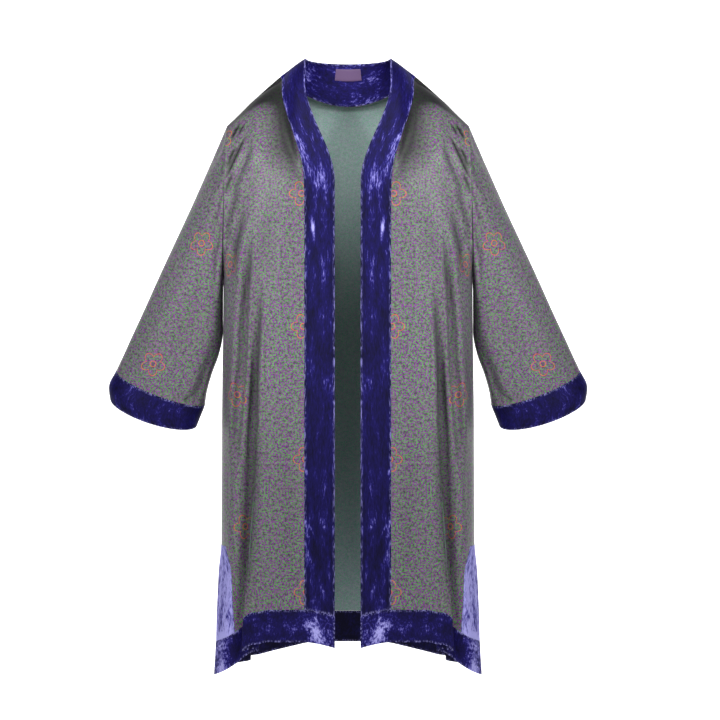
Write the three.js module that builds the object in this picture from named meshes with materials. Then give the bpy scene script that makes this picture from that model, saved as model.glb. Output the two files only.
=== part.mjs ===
// Open-front silk kimono robe with velvet trims, filled out as if worn, with nobody in it.
// Millimetres. +X is the wearer's left, -Y the front, +Z up. The origin lies between the two ends of
// the shoulder seams at the neck, where the wearer's shoulders carry the robe.
// Each large sheet (front, back, sleeve, neckband) is a grid of points worked out from the sizes below,
// and each cut piece is a block of its cells, given a wall and drawn in a little from its seams.
import * as THREE from "three";

// ---- Driving sizes ----
const SILK_WALL = 1.2;
const VELVET_WALL = 2.4;
const CUFF_WALL = 3;
const LABEL_WALL = 0.8;
const LABEL_LIFT = 0.4; // between the label and the neckband
const EDGE_INSET = 0.15; // each piece stops this far from its seam line
const TRIM_INSET = 0.49; // and this far from it at the thick trims of the slits and the hem
const LEAST_SLANT = 0.4; // sine of the sharpest angle at which a seam crosses the rows or columns

const BAND_WIDTH = 60; // velvet band down the front, seen from the front
const FRONT_GAP = 50; // between the two front bands
const NECK_FLARE = { free: 59, seam: 50 }; // how far each edge of a band moves out up to the shoulder
const NECK_FLARE_END = -200; // level where the bands run straight
const COLLAR_TOP = 53; // top edge of the collar at the side of the neck
const COLLAR_BACK_TOP = 49; // and at the centre back
const COLLAR_BACK_Y = 62;
const SHOULDER_Z = 16; // shoulder seam at the collar
const NECK_BACK = { y: 78, z: -36 }; // neck seam at the centre back
const CHEST_Y = -112; // front of the robe at the bands
const BACK_Y = 118;
const NECK_DISH = 4; // the back is this much flatter below the ends of the neck seam
const HEM_FORWARD = 6; // the front hangs this much further forward at the hem
const YOKE_SWELL = 8; // how far the chest and back stand out between the bands and the sides
const ARMHOLE_APPROACH = 0.35; // how straight the body runs into the armhole at the shoulder
const RIDGE_ROUNDING = 0.85; // 1 is a round shoulder, less is a sharper one

const SLIT_TOP = -918;
const SLIT_BAND = 58; // width of the velvet band down each side slit
const FRONT_HEM_SEAM = -1038; // silk ends and the hem band begins
const BACK_HEM_SEAM = -1063;
const HEM_BAND = 63;
const FRONT_CORNER_DROP = 12; // the hem runs down towards the front edge
const UNDERARM = -384;

// ---- Grid ----
const YOKE_ROWS = 11; // shoulder seam to underarm
const BODY_ROWS = 8; // underarm to the top of the slit
const SLIT_ROWS = 3;
const HEM_ROWS = 2;
const BAND_SHARES = [0, 0.16, 0.46, 1]; // across a band, from its free edge to its seam
const NECK_SHARES = [0, 0.1, 0.2, 0.36, 0.52, 0.68, 0.84, 1]; // centre back to shoulder seam
const FRONT_SHARES = [
  0, 0.14, 0.28, 0.4, 0.48, 0.53, 0.575, 0.61, 0.645, 0.68, 0.72, 0.77, 0.83, 0.91, 1,
];
const BACK_SHARES = [0, 0.12, 0.24, 0.34, 0.42, 0.5, 0.58, 0.68, 0.78, 0.89, 1];
const SLIT_SHARES = [0.33, 0.67, 1];
const SLIT_ROW = YOKE_ROWS + BODY_ROWS;
const HEM_ROW = SLIT_ROW + SLIT_ROWS;
const LAST_ROW = HEM_ROW + HEM_ROWS;

// The side edge below the underarm: where it is, how far the cloth bulges out beyond it (or, less
// than 0, how far it runs in from it, as it does where the slit bands turn forward and back),
// and how far forward or back that bulge reaches. apart is half the opening of the slit.
const SIDE = [
  { z: -384, x: 248, apart: 0, bulge: 0, reach: 100 },
  { z: -450, x: 248.4, apart: 0, bulge: 0, reach: 100 },
  { z: -510, x: 249, apart: 0, bulge: 1, reach: 100 },
  { z: -580, x: 250, apart: 0, bulge: 2, reach: 98 },
  { z: -660, x: 251, apart: 0, bulge: 3, reach: 97 },
  { z: -760, x: 251, apart: 0, bulge: 4, reach: 96 },
  { z: -918, x: 252, apart: 0, bulge: 3, reach: 94 },
  { z: -950, x: 257, apart: 12, bulge: -32, reach: 82 },
  { z: -1000, x: 260, apart: 28, bulge: -26, reach: 68 },
  { z: -1060, x: 262, apart: 42, bulge: -19, reach: 54 },
  { z: -1120, x: 265, apart: 50, bulge: -17, reach: 46 },
];

// Hanging folds. at is measured round the body from the band seam, or from the neck line on the
// back, at the top and at the end. A roll also slides over itself, by slide, from slideTop to the hem.
const UNENDING = -9000; // the fade level of a fold that runs on to the hem
const FRONT_FOLDS = [
  { kind: "roll", top: -370, full: -660, fade: UNENDING, atTop: 93, atEnd: 112, half: 23, sink: 27,
    slideTop: -520, slide: 22 },
  { kind: "valley", top: -310, full: -460, fade: -800, atTop: 116, atEnd: 150, half: 14, sink: 12 },
  { kind: "valley", top: -250, full: -320, fade: -420, atTop: 138, atEnd: 150, half: 11, sink: 6 },
  { kind: "valley", top: 20, full: -60, fade: -190, atTop: 26, atEnd: 18, half: 32, sink: 9 },
];
const BACK_FOLDS = [
  { kind: "roll", top: -420, full: -900, fade: UNENDING, atTop: 62, atEnd: 74, half: 26, sink: 20,
    slideTop: -620, slide: 12 },
  { kind: "valley", top: -300, full: -700, fade: UNENDING, atTop: -40, atEnd: -52, half: 34, sink: 10 },
  { kind: "valley", top: -200, full: -420, fade: -760, atTop: 20, atEnd: 8, half: 26, sink: 8 },
];
const SLIDE_FULL = -1110; // level where a roll has slid all the way
const ROLL_RECOVERY = 2.5; // half widths over which the cloth comes forward again beside a roll
const FOLD_FADE = 140; // length over which a fold dies out
// The hem hangs lower past the roll, from before it to after it, and then evenly more out to the side.
const HEM_DROP = { roll: 32, before: 46, after: 50, side: 40, fromX: 190, toX: 265 };
const BACK_HEM_DROP = 44;

// Rings of the sleeve. out and in are its upper and under edges seen from the front, half is its
// depth from front to back, y its middle, and tilt turns the front of the ring down.
const SLEEVE = [
  { outX: 241, outZ: -82, inX: 248, inZ: -384, half: 67, y: 0, tilt: 0 },
  { outX: 259, outZ: -124, inX: 250.6, inZ: -408, half: 67, y: 3, tilt: 1 },
  { outX: 283, outZ: -177, inX: 250.8, inZ: -436, half: 66, y: 7, tilt: 3 },
  { outX: 312, outZ: -241, inX: 251.1, inZ: -468, half: 64, y: 12, tilt: 6 },
  { outX: 345, outZ: -311, inX: 252, inZ: -504, half: 62, y: 17, tilt: 9 },
  { outX: 378, outZ: -381, inX: 260.5, inZ: -541, half: 59, y: 22, tilt: 12 },
  { outX: 409, outZ: -449, inX: 274, inZ: -577, half: 56, y: 27, tilt: 15 },
  { outX: 439, outZ: -513, inX: 284, inZ: -611, half: 54, y: 32, tilt: 18 },
  { outX: 466, outZ: -572, inX: 289, inZ: -638, half: 52, y: 36, tilt: 20 },
  { outX: 480, outZ: -600, inX: 298, inZ: -661, half: 55, y: 38, tilt: 24 },
  { outX: 478, outZ: -628, inX: 306, inZ: -681, half: 53, y: 40, tilt: 27 },
];
const UNDERARM_CLEARANCE = 2; // the sleeve hangs this far outside the body at the foot of the armhole
const CUFF_RING = 8; // ring where the velvet cuff begins
const SLEEVE_FOLDS = [
  { at: 146, from: 4, to: 8.4, half: 17, sink: 8 },
  { at: 214, from: 3, to: 8.2, half: 20, sink: 9 },
  { at: 118, from: 0.2, to: 3.6, half: 15, sink: 5 },
];

// ---- Small helpers ----
const mix = (a, b, t) => a + (b - a) * t;
const radians = (degrees) => (degrees * Math.PI) / 180;
const vec = (x, y, z) => new THREE.Vector3(x, y, z);
const bell = (d) => (Math.abs(d) < 1 ? (1 + Math.cos(Math.PI * d)) / 2 : 0);

// Goes smoothly from 0 at from to 1 at to, whichever is larger.
function ramp(x, from, to) {
  const t = THREE.MathUtils.clamp((x - from) / (to - from), 0, 1);
  return t * t * (3 - 2 * t);
}

// A table's named columns at a level between its rows, by a smooth curve through them.
function between(table, place) {
  const low = THREE.MathUtils.clamp(Math.floor(place), 0, table.length - 2);
  const last = table.length - 1;
  const rows = [low - 1, low, low + 1, low + 2].map((i) => table[THREE.MathUtils.clamp(i, 0, last)]);
  const t = place - low;
  const found = {};
  for (const name of Object.keys(table[0])) {
    const [a, b, c, d] = rows.map((row) => row[name]);
    found[name] = b + (t / 2) * (c - a + t * (2 * a - 5 * b + 4 * c - d + t * (3 * (b - c) + d - a)));
  }
  return found;
}

function sideAt(z) {
  let i = 0;
  while (i < SIDE.length - 2 && z < SIDE[i + 1].z) i++;
  const place = i + THREE.MathUtils.clamp((z - SIDE[i].z) / (SIDE[i + 1].z - SIDE[i].z), 0, 1);
  return between(SIDE, place);
}

// ---- Sleeve rings, the first of which is the armhole ----
function ringPoint(place, degrees) {
  const r = between(SLEEVE, place);
  const across = Math.cos(radians(degrees));
  const forward = Math.sin(radians(degrees));
  let half = r.half;
  let pull = 1;
  for (const f of SLEEVE_FOLDS) {
    const along = bell((2 * (place - f.from)) / (f.to - f.from) - 1);
    const depth = f.sink * along * bell((degrees - f.at) / f.half);
    half -= depth;
    pull -= depth / Math.hypot(r.outX - r.inX, r.outZ - r.inZ);
  }
  return vec(
    mix(r.inX, r.outX, (1 + across * pull) / 2),
    r.y - half * forward * Math.cos(radians(r.tilt)),
    mix(r.inZ, r.outZ, (1 + across * pull) / 2) - half * forward * Math.sin(radians(r.tilt)),
  );
}

// ---- Rows of the body, from the shoulder seam down to the hem ----
// Says where a row is: turn goes from 0 on the shoulder seam to 90 degrees at the underarm row,
// and middleZ and sideZ are the row's levels at the bands and at the side.
function rowPlace(row, hemSeam) {
  if (row <= YOKE_ROWS) {
    const turn = radians((90 * row) / YOKE_ROWS);
    const fall = (1 - Math.cos(turn)) ** RIDGE_ROUNDING;
    return { turn, fall, middleZ: NECK_FLARE_END, hang: 0, yoke: true, strength: Math.sin(turn) };
  }
  if (row <= SLIT_ROW) {
    const t = (row - YOKE_ROWS) / BODY_ROWS;
    const middleZ = mix(NECK_FLARE_END, SLIT_TOP, t);
    return { middleZ, sideZ: mix(UNDERARM, SLIT_TOP, t), hang: 0, strength: 1 };
  }
  const t = Math.min(1, (row - SLIT_ROW) / SLIT_ROWS);
  const below = (HEM_BAND * Math.max(0, row - HEM_ROW)) / HEM_ROWS;
  const z = mix(SLIT_TOP, hemSeam, t) - below;
  return { middleZ: z, sideZ: z, hang: t, strength: 1 };
}

// The band's X at a level. share is 0 at its free edge and 1 at its seam.
function bandX(z, share) {
  const flare = mix(NECK_FLARE.free, NECK_FLARE.seam, share);
  return FRONT_GAP / 2 + BAND_WIDTH * share + flare * (1 - ramp(z, 0, NECK_FLARE_END));
}

// A row's curve from its seam to its side edge, and the point a given distance along it in plan.
function sweep(start, end, { swell, bulge, reach, level }, facing) {
  const c1 = vec(mix(start.x, end.x, 0.55), start.y + facing * swell, mix(start.z, end.z, 0.5));
  const c2 = vec(end.x + bulge, end.y + facing * reach, mix(start.z, end.z, level));
  const points = new THREE.CubicBezierCurve3(start, c1, c2, end).getPoints(60);
  const run = [0];
  points.slice(1).forEach((p, i) => run.push(run[i] + Math.hypot(p.x - points[i].x, p.y - points[i].y)));
  const at = (distance) => {
    let i = 1;
    while (i < run.length - 1 && run[i] < distance) i++;
    const t = (distance - run[i - 1]) / Math.max(run[i] - run[i - 1], 1e-6);
    return points[i - 1].clone().lerp(points[i], t);
  };
  return { length: run.at(-1), at };
}

// Moves a point of the sweep by the folds. facing is -1 on the front and 1 on the back.
function folded(curve, distance, folds, facing, strength) {
  const p = curve.at(distance);
  const ahead = curve.at(distance + 1).sub(curve.at(Math.max(0, distance - 1)));
  const along = vec(ahead.x, ahead.y, 0).normalize();
  const inward = vec(facing * along.y, -facing * along.x, 0);
  const z = p.z;
  for (const f of folds) {
    const level = strength * ramp(z, f.top, f.full) * (1 - ramp(z, f.fade + FOLD_FADE, f.fade));
    const at = mix(f.atTop, f.atEnd, ramp(z, f.top, Math.max(f.fade, SLIDE_FULL)));
    const d = (distance - at) / f.half;
    const rolled = ramp(d, -0.6, 0.6) * (1 - ramp(d, 0.7, ROLL_RECOVERY));
    const shape = f.kind === "roll" ? rolled : bell(d);
    p.addScaledVector(inward, f.sink * level * shape);
    if (f.slide && Math.abs(d) < 1) {
      const slid = f.slide * strength * ramp(z, f.slideTop, SLIDE_FULL);
      p.addScaledVector(along, -slid * Math.sin(Math.PI * d));
    }
  }
  return p;
}

const ROLL = FRONT_FOLDS[0];
const frontHemDrop = (distance, x) =>
  HEM_DROP.roll * ramp(distance, ROLL.atEnd - HEM_DROP.before, ROLL.atEnd + HEM_DROP.after) +
  HEM_DROP.side * Math.max(0, (x - HEM_DROP.fromX) / (HEM_DROP.toX - HEM_DROP.fromX));

// One row of the wearer's left front, from the band's free edge to the side.
function frontRow(row) {
  const place = rowPlace(row, FRONT_HEM_SEAM);
  const bandPoint = (share) => {
    const topZ = mix(COLLAR_TOP, SHOULDER_Z, share);
    const z = place.yoke ? mix(topZ, NECK_FLARE_END, place.fall) : place.middleZ;
    const forward = CHEST_Y - HEM_FORWARD * ramp(z, NECK_FLARE_END, FRONT_HEM_SEAM);
    const y = place.yoke ? CHEST_Y * Math.sin(place.turn) : forward;
    return vec(bandX(z, share), y, z - place.hang * FRONT_CORNER_DROP * (1 - share) ** 1.5);
  };
  const points = BAND_SHARES.map(bandPoint);
  if (place.yoke) {
    const [free, outer] = [points[0].clone(), points.at(-1).clone()];
    BAND_SHARES.forEach((share, i) => points[i].copy(free).lerp(outer, share));
  }
  const seam = points.at(-1);
  const { end, ...bend } = sideOf(row, place, seam.x);
  end.y = -end.y;
  const curve = sweep(seam, end, bend, -1);
  const silk = Math.max(curve.length - SLIT_BAND, 0);
  const distances = [
    ...FRONT_SHARES.slice(1).map((s) => s * silk),
    ...SLIT_SHARES.map((s) => silk + s * (curve.length - silk)),
  ];
  for (const distance of distances) {
    const p = folded(curve, distance, FRONT_FOLDS, -1, place.strength);
    p.z -= place.hang * frontHemDrop(distance, distance === distances.at(-1) ? end.x : p.x);
    points.push(distance === distances.at(-1) ? end.setZ(p.z) : p);
  }
  return points;
}

// The row's side end, on the armhole above the underarm and on the side seam below it. Its y is
// given as a distance from the middle, and the caller turns it to the front or the back.
function sideOf(row, place, startX) {
  if (place.yoke) {
    const p = ringPoint(0, (180 * row) / YOKE_ROWS);
    const across = Math.cos(place.turn) * ARMHOLE_APPROACH;
    return {
      end: vec(p.x, -p.y, p.z),
      swell: YOKE_SWELL * Math.sin(place.turn),
      bulge: (startX - p.x) * across,
      reach: (SIDE[0].reach + p.y) * Math.sin(place.turn) ** 4,
      level: Math.min(0.95, 1 - across),
    };
  }
  const s = sideAt(place.sideZ);
  const end = vec(s.x, Math.max(0, s.apart), place.sideZ);
  return { end, swell: YOKE_SWELL, bulge: s.bulge, reach: s.reach, level: 0.95 };
}

// The neck line: the neck seam on the first row, and a level line across the back lower down.
function neckCurve(place) {
  const turn = place.yoke ? place.turn : Math.PI / 2;
  const fall = place.yoke ? place.fall : 1;
  const settle = Math.sin(turn) ** 1.5;
  const y = mix(NECK_BACK.y, BACK_Y, Math.sin(turn) ** 0.8);
  const z = place.yoke ? mix(NECK_BACK.z, NECK_FLARE_END, fall) : place.middleZ;
  const endY = (BACK_Y - NECK_DISH) * (place.yoke ? Math.sin(turn) : 1);
  const end = vec(bandX(0, 1), endY, place.yoke ? mix(SHOULDER_Z, NECK_FLARE_END, fall) : z);
  // The pull at the end turns from back and down on the shoulder to straight across lower down.
  const near = vec(end.x - mix(18, 50, settle), end.y + mix(40, 3, settle), end.z - mix(18, 0, settle));
  return new THREE.CubicBezierCurve3(vec(0, y, z), vec(60, y, z), near, end);
}

// One row of the back, on the wearer's left, from the centre back to the side.
function backRow(row) {
  const place = rowPlace(row, BACK_HEM_SEAM);
  const neck = neckCurve(place);
  const neckPoints = NECK_SHARES.map((t) => neck.getPoint(t));
  const start = neckPoints.at(-1);
  const { end, ...bend } = sideOf(row, place, start.x);
  const curve = sweep(start, end, bend, 1);
  const total = start.x + curve.length;
  for (const p of neckPoints.slice(0, -1)) {
    const flat = { at: (distance) => vec(start.x + distance, p.y, p.z) };
    const moved = folded(flat, p.x - start.x, BACK_FOLDS, 1, place.strength);
    p.copy(moved).setZ(moved.z - place.hang * BACK_HEM_DROP * ramp(p.x, 40, total));
  }
  const silk = curve.length - SLIT_BAND;
  const distances = [
    ...BACK_SHARES.map((s) => s * silk),
    ...SLIT_SHARES.map((s) => silk + s * (curve.length - silk)),
  ];
  const points = neckPoints.slice(0, -1);
  distances.forEach((distance, i) => {
    const p = folded(curve, distance, BACK_FOLDS, 1, place.strength);
    p.z -= place.hang * BACK_HEM_DROP * ramp(start.x + distance, 40, total);
    points.push(i === distances.length - 1 ? end.setZ(p.z) : p);
  });
  return points;
}

// The neckband across the back of the neck, from the neck seam up to its free edge.
function neckbandRow(share) {
  const seam = neckCurve(rowPlace(0, BACK_HEM_SEAM));
  return NECK_SHARES.map((t) => {
    const turn = radians(90 * t);
    const top = mix(COLLAR_BACK_TOP, COLLAR_TOP, t * t);
    const free = vec(bandX(0, 0) * Math.sin(turn), COLLAR_BACK_Y * Math.cos(turn), top);
    if (t === 1) free.z = COLLAR_TOP;
    return free.lerp(seam.getPoint(t), share);
  });
}

// ---- Sheets: grids of points with a normal at each ----
const reflect = (p) => vec(-p.x, p.y, p.z);
const rowNumbers = (count) => Array.from({ length: count + 1 }, (_, i) => i);

function wholeWidth(halfRow) {
  return [...halfRow.slice(1).reverse().map(reflect), ...halfRow];
}

function sheet(points, outward, closed = false) {
  const rows = points.length;
  const cols = points[0].length;
  const column = (c) => (closed ? (c + cols) % cols : THREE.MathUtils.clamp(c, 0, cols - 1));
  const pick = (r, c) => points[THREE.MathUtils.clamp(r, 0, rows - 1)][column(c)];
  const normals = points.map((line, r) =>
    line.map((_, c) => {
      const down = pick(r + 1, c).clone().sub(pick(r - 1, c));
      const across = pick(r, c + 1).clone().sub(pick(r, c - 1));
      return down.cross(across).multiplyScalar(outward).normalize();
    }),
  );
  return { points, normals, outward, closed };
}

const mirrored = (s) => sheet(s.points.map((line) => line.map(reflect)), -s.outward, s.closed);

// Gives points that two or more sheets share the same normal, so that their walls meet face to face.
function shareNormals(sheets) {
  const sums = new Map();
  const key = (p) => [p.x, p.y, p.z].map((v) => Math.round(v * 50)).join();
  const each = (visit) =>
    sheets.forEach((s) => s.points.forEach((line, r) => line.forEach((p, c) => visit(s, p, r, c))));
  each((s, p, r, c) => {
    if (!sums.has(key(p))) sums.set(key(p), vec(0, 0, 0));
    sums.get(key(p)).add(s.normals[r][c]);
  });
  each((s, p, r, c) => s.normals[r][c].copy(sums.get(key(p))).normalize());
}

// A closed wall on the cells of a sheet that takes says yes to. lift moves it off the sheet.
function wall(s, thickness, takes, lift = 0) {
  const rows = s.points.length - 1;
  const cols = s.points[0].length - (s.closed ? 0 : 1);
  const around = (c) => (s.closed ? (c + s.points[0].length) % s.points[0].length : c);
  const inside = (r, c) => r >= 0 && r < rows && (s.closed || (c >= 0 && c < cols));
  const has = (r, c) => inside(r, c) && takes(r, around(c));
  const position = [];
  const index = [];
  const ids = new Map();
  const id = (r, cRaw) => {
    const c = around(cRaw);
    const name = r * 1000 + c;
    if (!ids.has(name)) {
      ids.set(name, position.length / 3);
      const base = s.points[r][c].clone();
      const count = (cells) => cells.filter(([i, j]) => has(i, j)).length;
      const down = count([[r, c - 1], [r, c]]) - count([[r - 1, c - 1], [r - 1, c]]);
      const right = count([[r - 1, c], [r, c]]) - count([[r - 1, c - 1], [r, c - 1]]);
      const toward = (i, j) => s.points[i][around(j)].clone().sub(s.points[r][c]).normalize();
      const inset = r > SLIT_ROW ? TRIM_INSET : EDGE_INSET;
      const slant = toward(r > 0 ? r - 1 : r + 1, c).cross(toward(r, c > 0 ? c - 1 : c + 1)).length();
      const step = inset / Math.max(slant, LEAST_SLANT);
      if (down) base.addScaledVector(toward(r + Math.sign(down), c), step);
      if (right) base.addScaledVector(toward(r, c + Math.sign(right)), step);
      for (const side of [lift + thickness / 2, lift - thickness / 2]) {
        const p = base.clone().addScaledVector(s.normals[r][c], side);
        position.push(p.x, p.y, p.z);
      }
    }
    return ids.get(name);
  };
  const face = (a, b, c) => index.push(...(s.outward > 0 ? [a, b, c] : [a, c, b]));
  const quad = (a, b, c, d) => {
    face(a, b, c);
    face(a, c, d);
  };
  for (let r = 0; r < rows; r++)
    for (let c = 0; c < (s.closed ? s.points[0].length : cols); c++) {
      if (!has(r, c)) continue;
      const [a, b, d, e] = [id(r, c), id(r, c + 1), id(r + 1, c), id(r + 1, c + 1)];
      quad(a, d, e, b);
      quad(a + 1, b + 1, e + 1, d + 1);
      if (!has(r - 1, c)) quad(a, b, b + 1, a + 1);
      if (!has(r + 1, c)) quad(e, d, d + 1, e + 1);
      if (!has(r, c - 1)) quad(d, a, a + 1, d + 1);
      if (!has(r, c + 1)) quad(b, e, e + 1, b + 1);
    }
  const geometry = new THREE.BufferGeometry();
  geometry.setAttribute("position", new THREE.Float32BufferAttribute(position, 3));
  geometry.setIndex(index);
  geometry.computeVertexNormals();
  return geometry;
}

// ---- The sheets ----
const frontLeft = sheet(rowNumbers(LAST_ROW).map(frontRow), 1);
const frontRight = mirrored(frontLeft);
const back = sheet(rowNumbers(LAST_ROW).map((row) => wholeWidth(backRow(row))), -1);
const neckband = sheet([...BAND_SHARES].reverse().map((share) => wholeWidth(neckbandRow(share))), 1);
const ringCount = 2 * YOKE_ROWS;
function sleeveRing(ring) {
  return Array.from({ length: ringCount }, (_, k) => {
    const p = ringPoint(ring, (360 * k) / ringCount);
    const low = 1 - Math.abs(1 - (2 * k) / ringCount);
    return ring === 0 ? p.setX(p.x + UNDERARM_CLEARANCE * ramp(low, 0.3, 0.7)) : p;
  });
}
const sleeveLeft = sheet(SLEEVE.map((_, ring) => sleeveRing(ring)), -1, true);
const sleeveRight = mirrored(sleeveLeft);
shareNormals([frontLeft, frontRight, back, neckband, sleeveLeft, sleeveRight]);

// ---- Columns that bound the pieces ----
const BAND_COL = BAND_SHARES.length - 1;
const STRIP_COL = BAND_COL + FRONT_SHARES.length - 1;
const BACK_COLS = back.points[0].length - 1;
const STRIP_COLS = SLIT_SHARES.length;
const NECK_MIDDLE = NECK_SHARES.length - 1;
const LABEL_REACH = 2; // columns on each side of the centre back

// ---- Materials ----
const silk = new THREE.MeshStandardMaterial({ color: "#76786f", roughness: 0.42, metalness: 0 });
const velvet = new THREE.MeshStandardMaterial({ color: "#241c66", roughness: 0.85, metalness: 0 });
const labelCloth = new THREE.MeshStandardMaterial({ color: "#7d5591", roughness: 0.6, metalness: 0 });

// ---- The pieces ----
const robe = new THREE.Group();

function add(name, geometry, material) {
  const piece = new THREE.Mesh(geometry, material);
  piece.name = name;
  robe.add(piece);
}

function addFront(side, s) {
  const onBand = (r, c) => r < HEM_ROW && c < BAND_COL;
  const onStrip = (r, c) => r >= SLIT_ROW && r < HEM_ROW && c >= STRIP_COL;
  const onSilk = (r, c) => r < HEM_ROW && !onBand(r, c) && !onStrip(r, c);
  add(`front_${side}`, wall(s, SILK_WALL, onSilk), silk);
  add(`front_band_${side}`, wall(s, VELVET_WALL, onBand), velvet);
  add(`front_hem_${side}`, wall(s, VELVET_WALL, (r) => r >= HEM_ROW), velvet);
  add(`front_slit_band_${side}`, wall(s, VELVET_WALL, onStrip), velvet);
}

function addSleeve(side, s) {
  add(`sleeve_${side}`, wall(s, SILK_WALL, (r) => r < CUFF_RING), silk);
  add(`cuff_${side}`, wall(s, CUFF_WALL, (r) => r >= CUFF_RING), velvet);
}

function addBack() {
  const level = (r) => r >= SLIT_ROW && r < HEM_ROW;
  const onRight = (r, c) => level(r) && c < STRIP_COLS;
  const onLeft = (r, c) => level(r) && c >= BACK_COLS - STRIP_COLS;
  const onSilk = (r, c) => r < HEM_ROW && !onRight(r, c) && !onLeft(r, c);
  add("back", wall(back, SILK_WALL, onSilk), silk);
  add("back_hem", wall(back, VELVET_WALL, (r) => r >= HEM_ROW), velvet);
  add("back_slit_band_right", wall(back, VELVET_WALL, onRight), velvet);
  add("back_slit_band_left", wall(back, VELVET_WALL, onLeft), velvet);
}

function addNeckband() {
  add("neckband_back", wall(neckband, VELVET_WALL, () => true), velvet);
  const lift = -(VELVET_WALL / 2 + LABEL_LIFT + LABEL_WALL / 2);
  const onLabel = (r, c) => r === 1 && Math.abs(c + 0.5 - NECK_MIDDLE) < LABEL_REACH;
  add("neck_label", wall(neckband, LABEL_WALL, onLabel, lift), labelCloth);
}

addFront("left", frontLeft);
addFront("right", frontRight);
addBack();
addSleeve("left", sleeveLeft);
addSleeve("right", sleeveRight);
addNeckband();

export default robe;
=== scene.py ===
"""Silk kimono robe with crushed-velvet trims, filled out as worn: cloth shells, folds and materials.
Sizes are millimetres until a piece is made, and follow the same table names as the robe's solids.
The front faces -Y, and left and right are the wearer's."""
import math
from functools import partial
import bpy
import numpy as np
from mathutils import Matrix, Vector


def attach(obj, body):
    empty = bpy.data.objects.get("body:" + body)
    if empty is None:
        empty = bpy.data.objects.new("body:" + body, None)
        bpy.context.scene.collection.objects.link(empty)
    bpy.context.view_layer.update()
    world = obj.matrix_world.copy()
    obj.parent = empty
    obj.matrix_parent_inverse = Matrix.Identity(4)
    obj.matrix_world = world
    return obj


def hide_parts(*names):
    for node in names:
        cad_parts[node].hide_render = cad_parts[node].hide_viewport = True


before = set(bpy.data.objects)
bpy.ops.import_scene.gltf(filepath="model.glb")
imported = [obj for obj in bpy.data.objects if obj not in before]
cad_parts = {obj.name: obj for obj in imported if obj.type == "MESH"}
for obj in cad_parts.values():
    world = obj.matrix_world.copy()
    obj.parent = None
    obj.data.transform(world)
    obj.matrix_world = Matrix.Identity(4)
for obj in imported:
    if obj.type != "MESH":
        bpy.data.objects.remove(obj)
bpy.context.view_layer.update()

# ---- Driving sizes, the same as the solids' ----
SILK_WALL, VELVET_WALL, CUFF_WALL, LABEL_WALL = 1.0, 2.2, 2.8, 0.8
LABEL_LIFT = 0.4  # air between the label and the neckband
EDGE_INSET = 0.1  # how far each piece stops short of its seam
VELVET_RIM, LABEL_RIM = 0.9, 0.2  # rounding of the rims
BAND_WIDTH, FRONT_GAP = 60, 50
NECK_FLARE = {"free": 59, "seam": 50}
NECK_FLARE_END = -200
COLLAR_TOP, COLLAR_BACK_TOP, COLLAR_BACK_Y = 53, 49, 62
SHOULDER_Z = 16
NECK_BACK = {"y": 78, "z": -36}
CHEST_Y, BACK_Y, HEM_FORWARD = -112, 118, 6
YOKE_SWELL, ARMHOLE_APPROACH, RIDGE_ROUNDING = 8, 0.35, 0.85
SLIT_TOP, SLIT_BAND = -918, 58
FRONT_HEM_SEAM, BACK_HEM_SEAM, HEM_BAND = -1038, -1063, 63
FRONT_CORNER_DROP = 12
UNDERARM = -384
YOKE_ROWS, BODY_ROWS, SLIT_ROWS, HEM_ROWS = 11, 8, 3, 2
SLIT_ROW = YOKE_ROWS + BODY_ROWS
HEM_ROW = SLIT_ROW + SLIT_ROWS
LAST_ROW = HEM_ROW + HEM_ROWS

SIDE = dict(
    z=(-384, -450, -510, -580, -660, -760, -918, -950, -1000, -1060, -1120),
    x=(248, 248.4, 249, 250, 251, 251, 252, 257, 260, 262, 265),
    apart=(0, 0, 0, 0, 0, 0, 0, 12, 28, 42, 50),
    bulge=(0, 0, 1, 2, 3, 4, 3, -32, -26, -19, -17),
    reach=(100, 100, 100, 98, 97, 96, 94, 82, 68, 54, 46),
)
SLEEVE = dict(
    outX=(241, 259, 283, 312, 345, 378, 409, 439, 466, 480, 478),
    outZ=(-82, -124, -177, -241, -311, -381, -449, -513, -572, -600, -628),
    inX=(248, 250.6, 250.8, 251.1, 252, 260.5, 274, 284, 289, 298, 306),
    inZ=(-384, -408, -436, -468, -504, -541, -577, -611, -638, -661, -681),
    half=(67, 67, 66, 64, 62, 59, 56, 54, 52, 55, 53),
    y=(0, 3, 7, 12, 17, 22, 27, 32, 36, 38, 40),
    tilt=(0, 1, 3, 6, 9, 12, 15, 18, 20, 24, 27),
)
UNDERARM_CLEARANCE = 2
CUFF_RING, LAST_RING = 8, 10
SLEEVE_FOLDS = (
    dict(at=146, start=4, end=8.4, half=17, sink=8),
    dict(at=214, start=3, end=8.2, half=20, sink=9),
    dict(at=118, start=0.2, end=3.6, half=15, sink=5),
)
UNENDING = -9000  # the fade level of a fold that runs on to the hem
# Hanging folds. at is measured round the body, from the band seam or from the end of the neck seam.
FRONT_FOLDS = (
    dict(kind="roll", top=-370, full=-660, fade=UNENDING, slide_top=-520, at_top=93, at_end=112,
         half=23, sink=27, slide=22),
    dict(kind="valley", top=-310, full=-460, fade=-800, at_top=116, at_end=150, half=14, sink=12),
    dict(kind="valley", top=-250, full=-320, fade=-420, at_top=138, at_end=150, half=11, sink=6),
    dict(kind="valley", top=20, full=-60, fade=-190, at_top=26, at_end=18, half=32, sink=9),
)
BACK_FOLDS = (
    dict(kind="roll", top=-420, full=-900, fade=UNENDING, slide_top=-620, at_top=62, at_end=74,
         half=26, sink=20, slide=12),
    dict(kind="ridge", top=-300, full=-700, fade=UNENDING, at_top=-40, at_end=-52, half=34, sink=-10),
    dict(kind="valley", top=-200, full=-420, fade=-760, at_top=20, at_end=8, half=26, sink=8),
)
SLIDE_FULL, ROLL_RECOVERY, FOLD_FADE = -1110, 2.5, 140
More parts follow.
